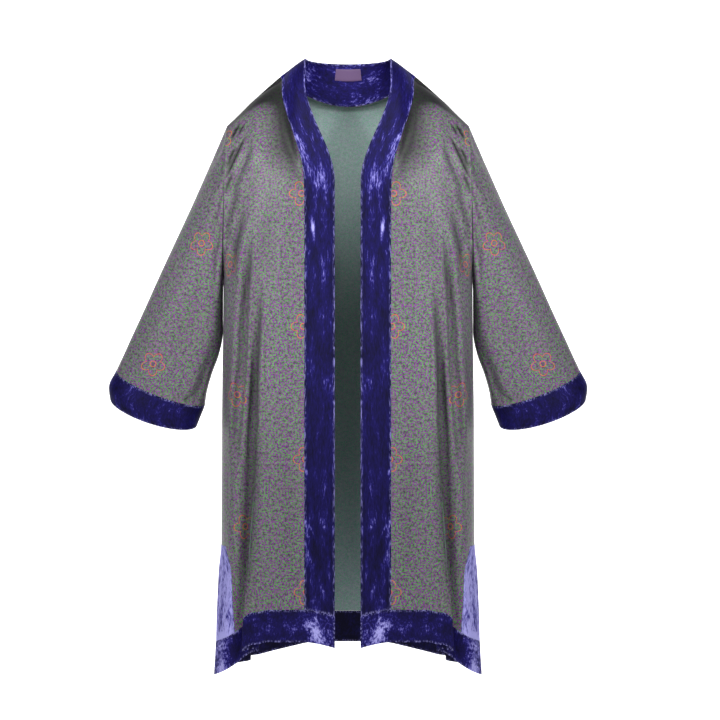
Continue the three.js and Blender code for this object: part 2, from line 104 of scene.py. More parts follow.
HEM_DROP = {"roll": 32, "before": 46, "after": 50, "side": 40, "from_x": 190, "to_x": 265}
BACK_HEM_DROP = 44

# Fine creases, each a soft trough (deep > 0) or ridge (deep < 0) along a line: X and Z of its start and
# end, how wide and how deep it is and, where its depth doesn't say it, how strong its painted shade is.
# The front's are drawn on the right front. On a sleeve, degrees round and the ring stand in place of X and
# Z.
FRONT_CREASES = (
    # the drag lines that fan out from the armhole, narrow, with strong painted shade
    (-204, -112, -243, -192, 3.6, 3.2, 1.7),
    (-223, -130, -240, -172, 3.2, 2.6, 1.5),
    (-214, -84, -231, -112, 3.2, 2.2, 1.4),
    (-203, -82, -218, -106, 3, 1.8, 1.0),
    (-192, -128, -234, -234, 7, 2.8, 0.5),
    (-227, -184, -244, -220, 3.4, 2.8, 1.6),
    (-222, -206, -236, -296, 7, 2.6, 0.6),
    (-178, -28, -254, -98, 8, 0.8, 1.2),
    # the three hanging folds, the outer one highest and the inner one longest
    (-212, -262, -227, -386, 8, 5.0),
    (-236, -262, -230, -330, 8, -2.0),
    (-196, -322, -209, -560, 8, 5.0),
    (-208, -520, -226, -770, 9, 4.6),
    (-176, -412, -184, -680, 8, 5.6),
    (-182, -640, -206, -1040, 12, 5.4),
    (-194, -540, -204, -730, 7, -3.2),
    (-206, -700, -226, -930, 9, -2.6),
    (-236, -480, -240, -860, 9, 3.0),
    # shallow waves of the broad part
    (-140, -520, -150, -960, 26, -2.4),
    (-118, -700, -124, -1010, 18, 2.0),
    (-160, -180, -152, -420, 26, 2.6),
    (-122, -250, -118, -560, 22, -2.0),
    # the silk drops away beside the neckband, with painted shade in the hollow
    (-168, 50, -100, -204, 33, 6.0, 0.74),
    (-145, 52, -88, -222, 15, 3.5, 0.6),
    (-104, 38, -216, -60, 19, 0.8, 0.85),
    (-180, -34, -172, -170, 20, -3.0),
    # small puckers beside the band and above the hem
    (-88, -560, -104, -548, 7, 1.2),
    (-88, -664, -106, -676, 7, 1.2),
    (-90, -934, -108, -952, 6, 2.2),
    (-90, -962, -112, -984, 6, 2.4),
    (-90, -994, -110, -1018, 6, 2.0),
    (-150, -1032, -146, -1000, 8, 1.6),
    (-172, -1034, -170, -985, 9, -1.6),
)
BAND_CREASES = (
    (-34, -812, -64, -898, 8, 2.2),
    (-40, -856, -72, -930, 7, 1.8),
    (-30, -900, -58, -968, 7, 1.5),
    (-60, -150, -76, -238, 8, -1.8),
    (-44, -180, -52, -262, 7, 1.7),
    (-70, -310, -60, -420, 9, 1.5),
    (-96, -60, -110, -10, 9, -1.6),
    (-52, -1000, -40, -1060, 10, -1.5),
)
# Where the velvet's pile has been laid flat, and its light lavender is painted sheen: X and Z, half
# length and half width, how far the place leans inwards over its half length, and how strong it is.
BRUSHED_SHEEN = (
    (82, 12, 30, 6, -1, 0.8),
    (98, -80, 56, 20, 16, 0.16),
    (116, -62, 76, 6, 22, 0.34),
    (92, -124, 18, 6, 7, 0.6),
    (68, -120, 22, 3.5, 3, 0.75),
    (70, -184, 38, 10, 11, 0.85),
    (48, -188, 46, 7, 5, 0.68),
    (66, -300, 30, 4, 4, 1.0),
    (46, -280, 24, 6, 4, 0.55),
    (66, -372, 16, 3.5, -1, 0.8),
    (48, -366, 16, 6, 3, 0.35),
    (83, -440, 14, 4, 0, 0.5),
    (82, -770, 16, 4, 1, 0.9),
    (82, -872, 20, 3.5, 2, 0.8),
    (66, -892, 20, 3, 8, 0.7),
    (50, -866, 12, 4, 3, 0.45),
    (72, -940, 24, 3, 9, 0.5),
    (37, -955, 24, 4, 0, 0.75),
    (52, -990, 26, 4, 5, 0.45),
    # the foot of the front corner, where the hem band is creased by its own weight, with painted sheen
    (58, -1088, 38, 19, 16, 1.05),
    (40, -1068, 22, 8, 4, 0.4),
    # painted sheen on the side corner, which turns to the side, and on a few places of the hem
    (250, -1140, 50, 16, -2, 1.0),
    (160, -1076, 12, 9, 3, 0.35),
    (120, -1070, 10, 12, 3, 0.3),
)
BACK_CREASES = (
    (-205, -120, -240, -236, 11, 2.6),
    (-216, -264, -226, -390, 10, 2.4),
    (-60, -120, -30, -420, 34, 2.6),
    (56, -160, 36, -500, 30, 2.2),
    (-110, -300, -118, -820, 24, 2.8),
    (104, -360, 116, -880, 26, 2.8),
    (-188, -520, -196, -960, 20, -2.6),
    (184, -480, 194, -930, 20, -2.4),
    (8, -620, 4, -1040, 22, 1.8),
    (208, -116, 241, -230, 11, 2.6),
    (214, -270, 226, -400, 10, 2.2),
)
SLEEVE_CREASES = (
    (150, 6.1, 128, 8.0, 9, 3.0),
    (118, 7.2, 108, 8.0, 7, 1.6),
    (132, 7.4, 126, 8.0, 6, 2.2),
    (60, 0.1, 48, 1.7, 9, 2.2),
    (84, 0.1, 74, 2.2, 8, 2.4),
    (104, 0.2, 110, 2.6, 10, 2.6),
    (30, 0.1, 24, 1.5, 9, 1.8),
    (92, 3.0, 84, 6.6, 14, 1.8),
    (62, 4.6, 56, 7.8, 12, -1.6),
    (246, 0.2, 252, 2.8, 11, 2.6),
    (282, 0.2, 288, 2.2, 10, 2.2),
    (236, 5.0, 228, 7.9, 12, 2.2),
    (300, 3.6, 296, 7.2, 14, 1.8),
)


def mix(a, b, t):
    return a + (b - a) * t


def unit(steps):
    return steps / np.maximum(np.linalg.norm(steps, axis=-1, keepdims=True), 1e-9)


def ramp(x, start, end):
    """0 before start and 1 after end, with a smooth rise between."""
    t = np.clip((np.asarray(x, float) - start) / (end - start), 0, 1)
    return t * t * (3 - 2 * t)


def bell(d):
    """1 at 0, falling smoothly to 0 at -1 and 1."""
    return np.where(np.abs(d) < 1, (1 + np.cos(np.pi * np.asarray(d, float))) / 2, 0)


def between(table, place):
    """The table's columns at a place between its rows, by a smooth curve through them."""
    count = len(next(iter(table.values())))
    place = np.asarray(place, float)
    low = np.clip(np.floor(place).astype(int), 0, count - 2)
    t = place - low
    found = {}
    for name, column in table.items():
        v = np.array(column, float)
        a, b, c, d = (v[np.clip(low + k, 0, count - 1)] for k in (-1, 0, 1, 2))
        curved = 2 * a - 5 * b + 4 * c - d + t * (3 * (b - c) + d - a)
        found[name] = b + (t / 2) * (c - a + t * curved)
    return found


def side_at(z):
    """The side seam at a height."""
    levels = SIDE["z"]
    i = 0
    while i < len(levels) - 2 and z < levels[i + 1]:
        i += 1
    place = i + min(1, max(0, (z - levels[i]) / (levels[i + 1] - levels[i])))
    return between({k: v for k, v in SIDE.items() if k != "z"}, place)


def ring_point(place, degrees):
    """A point of the sleeve: how many rings down it lies, and how far round from the outside."""
    r = between(SLEEVE, place)
    across, forward = np.cos(np.radians(degrees)), np.sin(np.radians(degrees))
    half, pull = r["half"], 1.0
    for f in SLEEVE_FOLDS:
        lengthwise = 2 * (place - f["start"]) / (f["end"] - f["start"]) - 1
        depth = f["sink"] * bell(lengthwise) * bell((degrees - f["at"]) / f["half"])
        half = half - depth
        pull = pull - depth / np.hypot(r["outX"] - r["inX"], r["outZ"] - r["inZ"])
    share = (1 + across * pull) / 2
    tilt = np.radians(r["tilt"])
    return np.stack([
        mix(r["inX"], r["outX"], share) + 0 * half,
        r["y"] - half * forward * np.cos(tilt),
        mix(r["inZ"], r["outZ"], share) - half * forward * np.sin(tilt),
    ], -1)


def row_place(row, hem_seam):
    """Where a row of the body lies: a turn over the shoulder in the yoke, and a level below it."""
    if row <= YOKE_ROWS:
        turn = math.radians(90 * row / YOKE_ROWS)
        fall = max(0.0, 1 - math.cos(turn)) ** RIDGE_ROUNDING
        return dict(yoke=True, turn=turn, fall=fall, middle=NECK_FLARE_END, hang=0,
                    strength=math.sin(turn))
    if row <= SLIT_ROW:
        t = (row - YOKE_ROWS) / BODY_ROWS
        middle, side = mix(NECK_FLARE_END, SLIT_TOP, t), mix(UNDERARM, SLIT_TOP, t)
        return dict(yoke=False, middle=middle, side=side, hang=0, strength=1)
    t = min(1, (row - SLIT_ROW) / SLIT_ROWS)
    below = HEM_BAND * max(0, row - HEM_ROW) / HEM_ROWS
    z = mix(SLIT_TOP, hem_seam, t) - below
    return dict(yoke=False, middle=z, side=z, hang=t, strength=1)


def band_x(z, share):
    """X of the front band, from its free edge (share 0) to its seam (share 1)."""
    flare = mix(NECK_FLARE["free"], NECK_FLARE["seam"], share)
    return FRONT_GAP / 2 + BAND_WIDTH * share + flare * (1 - ramp(z, 0, NECK_FLARE_END))


def bezier(p, t):
    t = np.asarray(t, float)[:, None]
    near, far = 3 * t * (1 - t) ** 2 * p[1], 3 * t * t * (1 - t) * p[2]
    return (1 - t) ** 3 * p[0] + near + far + t ** 3 * p[3]


STEEPEST = 0.95  # how far down its row the side's handle may lie


def side_of(row, place, start_x):
    """The end of a row at the armhole or the side seam, and how the row bends towards it."""
    if place["yoke"]:
        p = ring_point(np.float64(0), np.float64(180 * row / YOKE_ROWS))
        across = math.cos(place["turn"]) * ARMHOLE_APPROACH
        s = math.sin(place["turn"])
        bend = dict(swell=YOKE_SWELL * s, bulge=(start_x - p[0]) * across,
                    reach=(SIDE["reach"][0] + p[1]) * s ** 4, level=min(STEEPEST, 1 - across))
        return np.array([p[0], -p[1], p[2]]), bend
    s = side_at(place["side"])
    end = np.array([s["x"], max(0, s["apart"]), place["side"]])
    return end, dict(swell=YOKE_SWELL, bulge=s["bulge"], reach=s["reach"], level=STEEPEST)


SWEEP_POINTS = 241


def sweep(start, end, bend, facing):
    """The curve of a row from its flat part round to the side, and the distance run along it."""
    c1 = (mix(start[0], end[0], 0.55), start[1] + facing * bend["swell"], mix(start[2], end[2], 0.5))
    c2 = (end[0] + bend["bulge"], end[1] + facing * bend["reach"], mix(start[2], end[2], bend["level"]))
    points = bezier(np.array([start, c1, c2, end], float), np.linspace(0, 1, SWEEP_POINTS))
    run = np.concatenate([[0], np.cumsum(np.hypot(*np.diff(points[:, :2], axis=0).T))])
    return points, run


ROLL_RISE, ROLL_FALL = 0.6, 0.7  # where a roll is reached and left, in half widths


def fold(p, along, distance, folds, facing, strength):
    """Moves a row's points by the folds. facing is -1 on the front and 1 on the back."""
    inward = np.stack([facing * along[:, 1], -facing * along[:, 0], 0 * along[:, 0]], -1)
    z = p[:, 2].copy()
    for f in folds:
        fading = 1 - ramp(z, f["fade"] + FOLD_FADE, f["fade"])
        level = strength * ramp(z, f["top"], f["full"]) * fading
        at = mix(f["at_top"], f["at_end"], ramp(z, f["top"], max(f["fade"], SLIDE_FULL)))
        d = (distance - at) / f["half"]
        rolled = ramp(d, -ROLL_RISE, ROLL_RISE) * (1 - ramp(d, ROLL_FALL, ROLL_RECOVERY))
        shape = rolled if f["kind"] == "roll" else bell(d)
        p = p + inward * (f["sink"] * level * shape)[:, None]
        if f["kind"] == "roll":
            wave = np.where(np.abs(d) < 1, np.sin(np.pi * d), 0)
            slid = f["slide"] * strength * ramp(z, f["slide_top"], SLIDE_FULL) * wave
            p = p - along * slid[:, None]
    return p


def at_distance(points, run, distance):
    return np.stack([np.interp(distance, run, points[:, k]) for k in range(3)], -1)


def along_of(points, run, distance):
    """The level direction of a row at each distance along it."""
    behind = at_distance(points, run, np.maximum(0, distance - 1))
    return unit((at_distance(points, run, distance + 1) - behind) * (1, 1, 0))


CORNER_CURVE = 1.5  # how the front corner's drop dies out across the band


def silk_and_slit(run, silk_shares, slit_shares):
    """The distances of a row's columns: over the silk, and over the slit band beyond it."""
    silk = max(run[-1] - SLIT_BAND, 0)
    beyond = silk + np.array(slit_shares) * (run[-1] - silk)
    return np.concatenate([np.array(silk_shares) * silk, beyond])


def folded(curve, run, distance, folds, facing, place):
    """A row's points at the given distances along it, folded, with the last left in its seam."""
    along = along_of(curve, run, distance)
    p = fold(at_distance(curve, run, distance), along, distance, folds, facing, place["strength"])
    p[-1, :2] = curve[-1, :2]
    return p


def front_row(row, band_shares, silk_shares, slit_shares):
    """One row of the left front, from the band's free edge to the side."""
    place = row_place(row, FRONT_HEM_SEAM)
    points = []
    for share in (0, 1) if place["yoke"] else band_shares:
        if place["yoke"]:
            z = mix(mix(COLLAR_TOP, SHOULDER_Z, share), NECK_FLARE_END, place["fall"])
            y = CHEST_Y * math.sin(place["turn"])
        else:
            z = place["middle"]
            y = CHEST_Y - HEM_FORWARD * ramp(z, NECK_FLARE_END, FRONT_HEM_SEAM)
        corner = place["hang"] * FRONT_CORNER_DROP * (1 - share) ** CORNER_CURVE
        points.append([band_x(z, share), y, z - corner])
    points = np.array(points, float)
    if place["yoke"]:
        points = points[0] + (points[1] - points[0]) * np.array(band_shares)[:, None]
    end, bend = side_of(row, place, points[-1][0])
    end[1] = -end[1]
    curve, run = sweep(points[-1], end, bend, -1)
    distance = silk_and_slit(run, silk_shares[1:], slit_shares)
    p = folded(curve, run, distance, FRONT_FOLDS, -1, place)
    at = FRONT_FOLDS[0]["at_end"]
    drop = HEM_DROP["roll"] * ramp(distance, at - HEM_DROP["before"], at + HEM_DROP["after"])
    outward = (p[:, 0] - HEM_DROP["from_x"]) / (HEM_DROP["to_x"] - HEM_DROP["from_x"])
    drop += HEM_DROP["side"] * np.maximum(0, outward)
    p[:, 2] -= place["hang"] * drop
    return np.vstack([points, p])


NECK_FLAT = 60  # X up to which a row runs straight across the back of the neck
NECK_BACKING, NECK_SETTLING = 0.8, 1.5  # how soon its curve moves back, and settles to a plain row
NECK_HANDLE = {"x": (18, 50), "y": (40, 3), "z": (18, 0)}  # its last handle, at first and once settled
NECK_END_INSET = 4


def neck_curve(place, shares):
    """The part of a back row that lies under the neck, from the centre back outwards."""
    if place["yoke"]:
        out = math.sin(place["turn"])
        z, end_z = (mix(top, NECK_FLARE_END, place["fall"]) for top in (NECK_BACK["z"], SHOULDER_Z))
    else:
        out, z, end_z = 1.0, place["middle"], place["middle"]
    settle = out ** NECK_SETTLING
    y = mix(NECK_BACK["y"], BACK_Y, out ** NECK_BACKING)
    end = (band_x(0, 1), (BACK_Y - NECK_END_INSET) * out, end_z)
    inward, back, down = (mix(*NECK_HANDLE[axis], settle) for axis in "xyz")
    near = (end[0] - inward, end[1] + back, end[2] - down)
    return bezier(np.array([(0, y, z), (NECK_FLAT, y, z), near, end], float), shares)


BACK_DROP_FROM = 40  # X from which the back hem hangs lower towards the sides


def back_row(row, neck_shares, silk_shares, slit_shares):
    """One row of the left half of the back, from its centre to the side."""
    place = row_place(row, BACK_HEM_SEAM)
    neck = neck_curve(place, neck_shares)
    start = neck[-1]
    end, bend = side_of(row, place, start[0])
    curve, run = sweep(start, end, bend, 1)
    total = start[0] + run[-1]
    flat = neck[:-1]
    ahead = np.tile([1.0, 0, 0], (len(flat), 1))
    flat = fold(flat, ahead, flat[:, 0] - start[0], BACK_FOLDS, 1, place["strength"])
    flat[:, 2] -= place["hang"] * BACK_HEM_DROP * ramp(neck[:-1, 0], BACK_DROP_FROM, total)
    distance = silk_and_slit(run, silk_shares, slit_shares)
    p = folded(curve, run, distance, BACK_FOLDS, 1, place)
    p[:, 2] -= place["hang"] * BACK_HEM_DROP * ramp(start[0] + distance, BACK_DROP_FROM, total)
    return np.vstack([flat, p])


def neckband_row(share, neck_shares):
    """A row of the neckband's left half, from its free edge (share 0) to the neck seam (share 1)."""
    seam = neck_curve(row_place(0, BACK_HEM_SEAM), neck_shares)
    turn = np.radians(90 * np.array(neck_shares))
    free = np.stack([band_x(0, 0) * np.sin(turn), COLLAR_BACK_Y * np.cos(turn),
                     mix(COLLAR_BACK_TOP, COLLAR_TOP, np.array(neck_shares) ** 2)], -1)
    return free + (seam - free) * share


# ---- Sheets ----
def whole_width(half):
    other = half[:0:-1].copy()
    other[:, 0] *= -1
    return np.vstack([other, half])


def mirrored(points):
    return points * np.array([-1.0, 1, 1])


def normals_of(points, outward, closed=False):
    """The sheet's normals. outward is 1 or -1, and closed says that its first and last columns meet."""
    down = np.gradient(points, axis=0)
    if closed:
        across = (np.roll(points, -1, axis=1) - np.roll(points, 1, axis=1)) / 2
        across[:, 0] = across[:, -1] = (points[:, 1] - points[:, -2]) / 2
    else:
        across = np.gradient(points, axis=1)
    return unit(np.cross(down, across) * outward)


FULL_SHADE = 8.4  # a crease this deep gets the full painted shade
SWAY, SWAY_TURNS = 0.35, 4.3  # how far a crease sways, in its widths, and how often
BANK, BANK_OFF = 0.35, 1.6  # height and place of the low banks beside it


def creased(points, normals, places, creases):
    """Moves the sheet in and out along each crease, and gives each point's painted shade, 0 to 1,
    strongest deep in a crease. places holds the two coordinates that the creases are written in."""
    push, painted_crease_shade = np.zeros(points.shape[:2]), np.zeros(points.shape[:2])
    for ax, ay, bx, by, wide, deep, *painted_dark in creases:
        a, b = np.array([ax, ay], float), np.array([bx, by], float)
        length = np.linalg.norm(b - a)
        u = (b - a) / length
        rel = places - a
        along = rel @ u
        off = rel[..., 0] * u[1] - rel[..., 1] * u[0]
        sway = SWAY * wide * np.sin(along / length * SWAY_TURNS + wide)
        ending = ramp(along, 0.65 * length, 1.15 * length)
        ends = ramp(along, -0.15 * length, 0.3 * length) * (1 - ending)
        d = (off + sway) / wide
        banks = np.exp(-(d - BANK_OFF) ** 2) + np.exp(-(d + BANK_OFF) ** 2)
        push += deep * ends * (np.exp(-d * d) - BANK * banks)
        # painted shade: the listed strength, or else as much as the trough is deep
        painted_crease_shade += (painted_dark[0] if painted_dark else max(0, deep) / FULL_SHADE) * ends * np.exp(-d * d)
    return points - normals * push[..., None], np.minimum(painted_crease_shade, 1)


def brushed_sheen(points):
    """How much painted sheen each point gets where the velvet's pile was laid flat."""
    x, z = np.abs(points[..., 0]), points[..., 2]
    amount = np.zeros(x.shape)
    for at_x, at_z, long, wide, lean, strong in BRUSHED_SHEEN:
        down = (at_z - z) / long
        across = (x - at_x + lean * down) / wide
        amount += strong * np.exp(-np.abs(down) ** 3 - across ** 2)
    return amount


def blend_inside(before, after, soft):
    """The sheet after a change, but with its outer edges as before, so that neighbours still meet."""
    r, c = np.arange(before.shape[0])[:, None], np.arange(before.shape[1])
    nearest = np.minimum(np.minimum(r, r[-1] - r), np.minimum(c, c[-1] - c))
    return before + (after - before) * ramp(nearest, 0, soft)[..., None]


def relax(points, rows, times):
    """Evens the sheet along its columns near the given rows, which rounds off a change of slope."""
    for _ in range(times):
        mid = (points[:-2] + points[2:]) / 2
        points[1:-1] += rows[1:-1, None, None] * (mid - points[1:-1]) * 0.5
    return points


def spread(count, steps):
    """The places from 0 to count, with each space between two cut into steps."""
    parts = np.arange(1, steps + 1) / steps
    return np.append(0.0, np.arange(count)[:, None] + parts)


FINE = 2
ROW_STEPS, RINGS, AROUND = 5 * FINE, 8 * FINE, 64 * FINE
BAND_STEPS, SILK_STEPS, SLIT_STEPS = 8 * FINE, 54 * FINE, 6 * FINE
NECK_STEPS, BACK_STEPS = 14 * FINE, 30 * FINE
row_list = spread(LAST_ROW, ROW_STEPS)
band_shares, silk_shares, neck_shares, back_shares = (
    np.linspace(0, 1, steps + 1) for steps in (BAND_STEPS, SILK_STEPS, NECK_STEPS, BACK_STEPS))
slit_shares = np.linspace(0, 1, SLIT_STEPS + 1)[1:]

front = np.array([front_row(r, band_shares, silk_shares, slit_shares) for r in row_list])
back = np.array([whole_width(back_row(r, neck_shares, back_shares, slit_shares)) for r in row_list])
neckband = np.array([whole_width(neckband_row(s, neck_shares)) for s in band_shares[::-1]])

# The change of slope at the underarm row is rounded off away from the seams.
UNDERARM_REACH, UNDERARM_ROUNDS = 1.3, 60 * FINE
near_underarm = np.exp(-((row_list - YOKE_ROWS) / UNDERARM_REACH) ** 2)
for sheet in (front, back):
    smooth = relax(sheet.copy(), near_underarm, UNDERARM_ROUNDS)
    sheet[...] = blend_inside(sheet, smooth, 8 * FINE)

ring_list = spread(LAST_RING, RINGS)
# The sleeve sheet opens at its under seam, at 180 degrees.
turns = (np.linspace(0, 360, AROUND + 1) + 180) % 360
turns[-1] = 180
grid_ring, grid_turn = np.meshgrid(ring_list, turns, indexing="ij")
sleeve = ring_point(grid_ring, grid_turn)
low = 1 - np.abs(1 - grid_turn / 180)
sleeve[..., 0] += UNDERARM_CLEARANCE * ramp(low, 0.3, 0.7) * (1 - ramp(grid_ring, 0, 0.9))

# Creases, kept off the outer edges, and the painted shade of each sheet's creases.
CREASE_MARGIN = 3 * FINE
places = front[..., [0, 2]] * np.array([-1, 1])
moved, front_painted_shade = creased(front, normals_of(front, 1), places, FRONT_CREASES + BAND_CREASES)
front = blend_inside(front, moved, CREASE_MARGIN)
moved, back_painted_shade = creased(back, normals_of(back, -1), back[..., [0, 2]], BACK_CREASES)
back = blend_inside(back, moved, CREASE_MARGIN)
# On a sleeve, degrees and rings are made alike in size before the creases are drawn.
RING_AS_DEGREES = 30
scaled = [(start, ring * RING_AS_DEGREES, end, last_ring * RING_AS_DEGREES, *rest)
          for start, ring, end, last_ring, *rest in SLEEVE_CREASES]
places = np.stack([grid_turn, grid_ring * RING_AS_DEGREES], -1)
moved, sleeve_painted_shade = creased(sleeve, normals_of(sleeve, -1, True), places, scaled)
sleeve = sleeve + (moved - sleeve) * ramp(grid_ring, 0, 0.35)[..., None]
# The silk is eased into the cuff with small puckers.
PUCKERS, PUCKER_DEEP = 23, 0.8
around = np.radians(grid_turn)
by_cuff = np.exp(-((grid_ring - CUFF_RING + 0.12) / 0.3) ** 2)
pucker = by_cuff * np.sin(around * PUCKERS) * (0.5 + 0.5 * np.sin(around * 3.1))
puckered = PUCKER_DEEP * pucker * (grid_ring < CUFF_RING)
sleeve = sleeve - normals_of(sleeve, -1, True) * puckered[..., None]


# ---- Meshes ----
FLATTENING = 700  # rounds in which a sheet is laid flat
FLAT_COLS = 8  # how many columns apart the coarse grid for that is
# Of the three marks, the second carries the silk's painted crease shade and the third the velvet's painted
# sheen.
EDGE_MARK, PAINTED_SHADE_MARK, BRUSHED_SHEEN_MARK = "from_edge", "painted_crease_shade", "brushed_sheen"
WELD = 1e-5
RIM_ANGLE, SMOOTH_ANGLE = math.radians(60), math.radians(50)


def arcs(points, axis):
    """The distance run along each row (axis 1) or column (axis 0) from its first point."""
    steps = np.linalg.norm(np.diff(points, axis=axis), axis=2)
    return np.cumsum(np.insert(steps, 0, 0.0, axis=axis), axis=axis)


def flat_uv(points):
    """The cloth's own coordinates in metres: across from the sheet's middle, and down from its top."""
    u, v = arcs(points, 1), -arcs(points, 0)
    return np.stack([u - u[:, points.shape[1] // 2][:, None], v], -1) / 1000


def pull(flat, first, second, target):
    """Moves pairs of points of the flat grid, given by two slices, towards their true distance."""
    step = flat[second] - flat[first]
    length = np.maximum(np.linalg.norm(step, axis=2, keepdims=True), 1e-9)
    move = step * (0.5 * (1 - target[..., None] / length))
    flat[first] += move
    flat[second] -= move


def laid_flat(points, every):
    """The sheet laid flat in metres, as it was cut. Lengths and corner angles are kept as well as can
    be on a coarse grid, every so many rows and columns, and the points between follow."""
    rows = np.unique(np.append(np.arange(0, points.shape[0], every[0]), points.shape[0] - 1))
    cols = np.unique(np.append(np.arange(0, points.shape[1], every[1]), points.shape[1] - 1))
    across, down = arcs(points, 1), arcs(points, 0)
    wide = np.diff(across[np.ix_(rows, cols)], axis=1)
    tall = np.diff(down[np.ix_(rows, cols)], axis=0)
    coarse = points[np.ix_(rows, cols)]
    ahead, below = unit(np.diff(coarse, axis=1)), unit(np.diff(coarse, axis=0))
    lean = ((ahead[:-1] + ahead[1:]) * (below[:, :-1] + below[:, 1:])).sum(2) / 4
    a, b = (wide[:-1] + wide[1:]) / 2, (tall[:, :-1] + tall[:, 1:]) / 2
    squares, slant = a * a + b * b, 2 * a * b * lean
    falling, rising = np.sqrt(squares + slant), np.sqrt(squares - slant)
    u = across[np.ix_(rows, cols)]
    middle = len(cols) // 2
    flat = np.stack([u - u[:, middle:middle + 1], -down[np.ix_(rows, cols)]], -1)
    for _ in range(FLATTENING):
        for odd in (0, 1):
            pull(flat, np.s_[:, odd:-1:2], np.s_[:, odd + 1::2], wide[:, odd::2])
            pull(flat, np.s_[odd:-1:2, :], np.s_[odd + 1::2, :], tall[odd::2, :])
            pull(flat, np.s_[odd:-1:2, :-1], np.s_[odd + 1::2, 1:], falling[odd::2])
            pull(flat, np.s_[odd:-1:2, 1:], np.s_[odd + 1::2, :-1], rising[odd::2])
    by_row = np.array([[np.interp(across[r], across[r][cols], flat[i, :, k]) for k in (0, 1)]
                       for i, r in enumerate(rows)])
    whole = np.array([[np.interp(down[:, c], down[rows, c], by_row[:, k, c]) for k in (0, 1)]
                      for c in range(points.shape[1])])
    return whole.transpose(2, 0, 1) / 1000


def unrolled(points):
    """A sleeve cut open along its under seam and rolled out flat, in metres: round it, and up it."""
    up = points[0].mean(axis=0) - points[-1].mean(axis=0)
    v = points @ (up / np.linalg.norm(up))
    steps, climbs = np.linalg.norm(np.diff(points, axis=1), axis=2), np.diff(v, axis=1)
    round_it = np.sqrt(np.maximum(steps ** 2 - climbs ** 2, 0))
    u = np.cumsum(np.insert(round_it, 0, 0.0, axis=1), axis=1)
    return np.stack([u - u[:, points.shape[1] // 2][:, None], v], -1) / 1000


def toward(edge, inner):
    return edge + unit(inner - edge) * EDGE_INSET


def edit(operation, **settings):
    """Runs one mesh operator on what is selected of the active mesh."""
    bpy.ops.object.mode_set(mode="EDIT")
    operation(**settings)
    bpy.ops.object.mode_set(mode="OBJECT")


def apply_modifier(piece, kind, **settings):
    modifier = piece.modifiers.new(kind.lower(), kind)
    for key, value in settings.items():
        setattr(modifier, key, value)
    bpy.ops.object.modifier_apply(modifier=modifier.name)


def mark(mesh, name, values):
    """Stores one number for each point of the sheet, for its material to read."""
    layer = mesh.attributes.new(name, "FLOAT", "POINT")
    layer.data.foreach_set("value", values[::-1].astype(np.float32).ravel())


def from_edges(points, closed):
    """How far each point of a trim lies from its nearest edge, in metres."""
    away = np.inf
    for axis in (0,) if closed else (0, 1):
        run = arcs(points, axis)
        away = np.minimum(away, np.minimum(run, run.take([-1], axis) - run))
    return away / 1000


def cloth(name, points, uv, outward, wall, materials, replaces, closed=False, rim=0.0, marks=None,
          notches=(), notch_row=0):
    """A grid laid on the points as the middle of the cloth, given its wall by a solidify modifier.
    notches are ranges of columns left out below notch_row."""
    points = points.copy()
    for edge, inner in ((0, 1), (-1, -2)):
        points[edge] = toward(points[edge], points[inner])
    for edge, inner in () if closed else ((0, 1), (-1, -2)):
        points[:, edge] = toward(points[:, edge], points[:, inner])
    keep = np.ones((points.shape[0] - 1, points.shape[1] - 1), bool)
    for first, last in notches:
        keep[notch_row:, first:last] = False
        top = np.s_[first:last + 1]
        points[notch_row, top] = toward(points[notch_row, top], points[notch_row - 1, top])
        edge, inner = (first, first - 1) if first > 0 else (last, last + 1)
        points[notch_row:, edge] = toward(points[notch_row:, edge], points[notch_row:, inner])
    bpy.ops.object.select_all(action="DESELECT")
    rows, cols = points.shape[:2]
    bpy.ops.mesh.primitive_grid_add(x_subdivisions=cols - 1, y_subdivisions=rows - 1, size=2)
    piece = bpy.context.object
    piece.name = piece.data.name = name
    mesh = piece.data
    # The grid's vertices run along x and then y, so the sheet's last row comes first.
    mesh.vertices.foreach_set("co", (points[::-1].reshape(-1, 3) / 1000).astype(np.float32).ravel())
    for mark_name, values in (marks or {}).items():
        mark(mesh, mark_name, values)
    corners = np.zeros(len(mesh.loops), np.int32)
    mesh.loops.foreach_get("vertex_index", corners)
    laid = uv[::-1].reshape(-1, 2)[corners]
    mesh.uv_layers.active.data.foreach_set("uv", laid.astype(np.float32).ravel())
    mesh.update()
    if not keep.all():
        mesh.polygons.foreach_set("select", ~keep[::-1].ravel())
        bpy.context.tool_settings.mesh_select_mode = (False, False, True)
        edit(bpy.ops.mesh.delete, type="FACE")
        bpy.context.tool_settings.mesh_select_mode = (True, False, False)
    if closed:
        mesh.vertices.foreach_set("select", np.ones(len(mesh.vertices), bool))
        edit(bpy.ops.mesh.remove_doubles, threshold=WELD)
    if outward < 0:
        mesh.flip_normals()
    for material in materials:
        mesh.materials.append(material)
    inside = len(materials) - 1
    apply_modifier(piece, "SOLIDIFY", thickness=wall / 1000, offset=0, material_offset=inside)
    if rim:
        apply_modifier(piece, "BEVEL", width=rim / 1000, segments=2, limit_method="ANGLE",
                       angle_limit=RIM_ANGLE)
    bpy.ops.object.shade_smooth_by_angle(angle=SMOOTH_ANGLE)
    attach(piece, "root")
    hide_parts(replaces)
    return piece


# ---- Materials ----
def hex_colour(text):
    def linear(v):
        return v / 12.92 if v <= 0.04045 else ((v + 0.055) / 1.055) ** 2.4
    return [linear(int(text[i:i + 2], 16) / 255) for i in (1, 3, 5)] + [1.0]


def link(material, source, target):
    material.node_tree.links.new(source, target)


